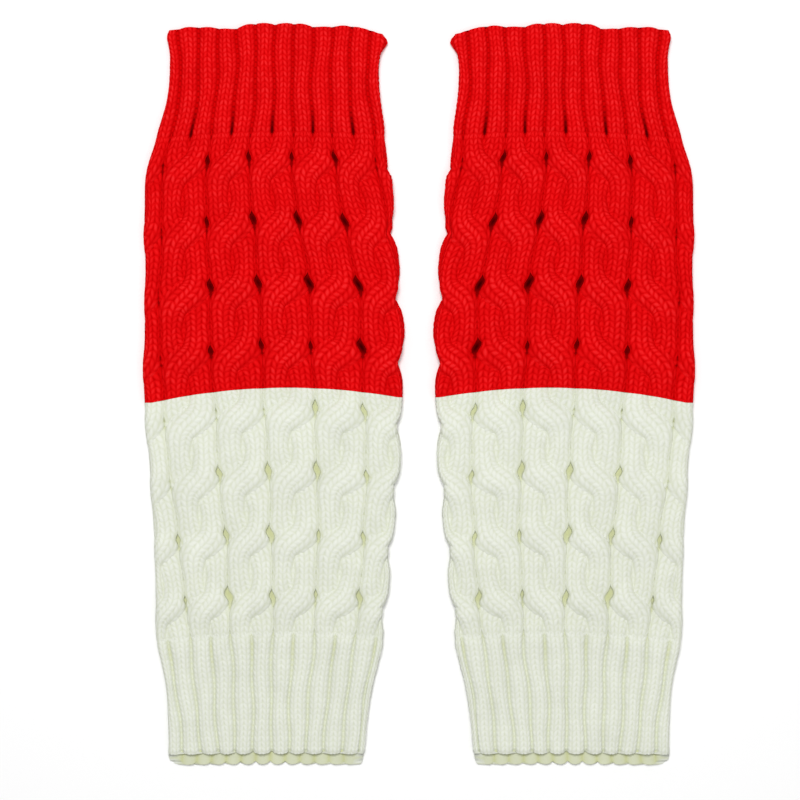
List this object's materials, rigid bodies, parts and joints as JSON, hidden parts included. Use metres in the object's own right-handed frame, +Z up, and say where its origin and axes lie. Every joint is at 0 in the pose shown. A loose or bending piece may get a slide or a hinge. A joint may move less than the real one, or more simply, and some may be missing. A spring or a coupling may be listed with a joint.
{
  "type": "pair of knitted leg warmers",
  "caption": "Pair of cable-knit leg warmers laid flat, red above and cream below, with ribbed cuffs at knee and ankle and both ends open.",
  "frame": {"origin": "on the surface that the pair rests on, midway between the two leg warmers and midway along them", "axes": "+Y runs from the ankle hems to the knee hems, +X from the left leg warmer to the right one, +Z up"},
  "size_m": [0.2976, 0.4, 0.0098],
  "materials": {
    "red_rib_knit": "matt acrylic yarn, knit two and purl two",
    "red_cable_knit": "matt acrylic yarn in raised cables",
    "cream_cable_knit": "matt acrylic yarn in raised cables",
    "cream_rib_knit": "matt acrylic yarn, knit two and purl two"
  },
  "bodies": {
    "root": {"left_knee_cuff": "red_rib_knit", "left_upper_cable": "red_cable_knit", "left_lower_cable": "cream_cable_knit", "left_ankle_cuff": "cream_rib_knit", "right_knee_cuff": "red_rib_knit", "right_upper_cable": "red_cable_knit", "right_lower_cable": "cream_cable_knit", "right_ankle_cuff": "cream_rib_knit"}
  },
  "joints": []
}
